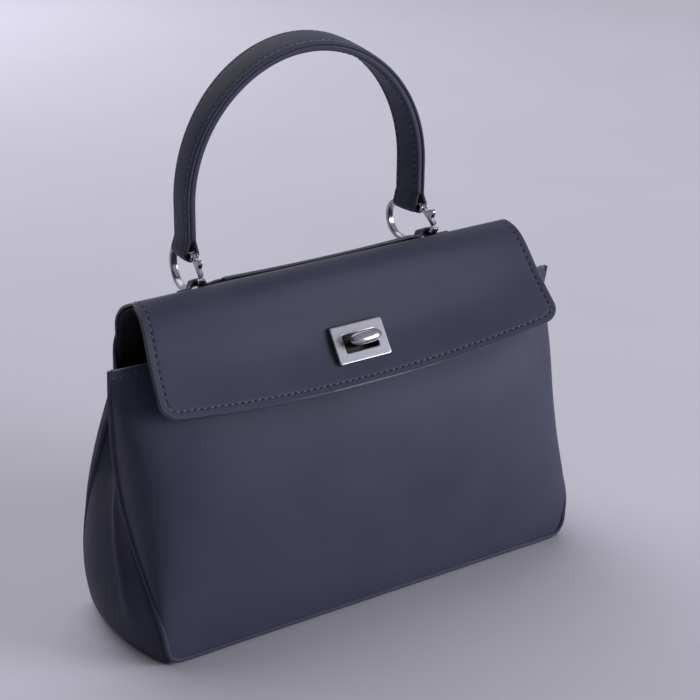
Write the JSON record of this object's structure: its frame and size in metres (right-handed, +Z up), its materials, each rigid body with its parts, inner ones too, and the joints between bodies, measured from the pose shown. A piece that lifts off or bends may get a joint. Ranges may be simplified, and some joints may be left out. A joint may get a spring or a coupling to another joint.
{
  "type": "flap handbag",
  "caption": "Soft leather flap handbag with a stiff arched top handle on gated rings, a turn lock on the flap and folded side gussets.",
  "frame": {"origin": "on the floor under the middle of the base", "axes": "+X to the bag's right as seen from the front, -Y to the front, +Z up"},
  "size_m": [0.3194, 0.1082, 0.3359],
  "materials": {
    "leather": "smooth matte calf leather, dark slate blue",
    "lining": "dark woven lining",
    "stiffener": "bag board",
    "nickel": "polished nickel plate"
  },
  "bodies": {
    "body": {"front_panel": "leather", "back_panel": "leather", "left_gusset": "leather", "right_gusset": "leather", "base_panel": "leather", "base_board": "stiffener", "front_lining": "lining", "back_lining": "lining", "left_lining": "lining", "right_lining": "lining", "base_lining": "lining", "front_piping": "leather", "back_piping": "leather", "left_tab": "leather", "right_tab": "leather", "ridge_strip": "leather", "lock_base": "nickel", "lock_washer": "nickel"},
    "flap": {"flap_outer": "leather", "flap_lining": "leather", "lock_frame": "nickel", "lock_frame_back": "nickel"},
    "knob": {"turn_knob": "nickel"},
    "handle": {"handle_outer": "leather", "handle_core": "stiffener", "handle_lining": "leather", "left_ring": "nickel", "right_ring": "nickel", "left_gate_pin": "nickel", "right_gate_pin": "nickel"},
    "left_gate": {"left_gate": "nickel"},
    "right_gate": {"right_gate": "nickel"}
  },
  "joints": [
    {"name": "flap_open", "type": "hinge", "parent": "body", "child": "flap", "pos_m": [0, -0.01, 0.2058], "axis": [-1, 0, 0], "range_deg": [0, 125]},
    {"name": "lock_turn", "type": "hinge", "parent": "body", "child": "knob", "pos_m": [0, -0.036, 0.163], "axis": [0, -0.8434, 0.5373], "range_deg": [0, 90]},
    {"name": "handle_swing", "type": "hinge", "parent": "body", "child": "handle", "pos_m": [0, 0.01087, 0.20132], "axis": [-1, 0, 0], "range_deg": [-5, 34], "deforming": ["left_tab", "right_tab"]},
    {"name": "left_gate_press", "type": "hinge", "parent": "handle", "child": "left_gate", "pos_m": [-0.0808, 0.01167, 0.2183], "axis": [0.9945, -0.1045, 0], "range_deg": [0, 14], "stiffness_Nm_per_rad": 0.02},
    {"name": "right_gate_press", "type": "hinge", "parent": "handle", "child": "right_gate", "pos_m": [0.0808, 0.01167, 0.2183], "axis": [0.9945, 0.1045, 0], "range_deg": [0, 14], "stiffness_Nm_per_rad": 0.02}
  ]
}
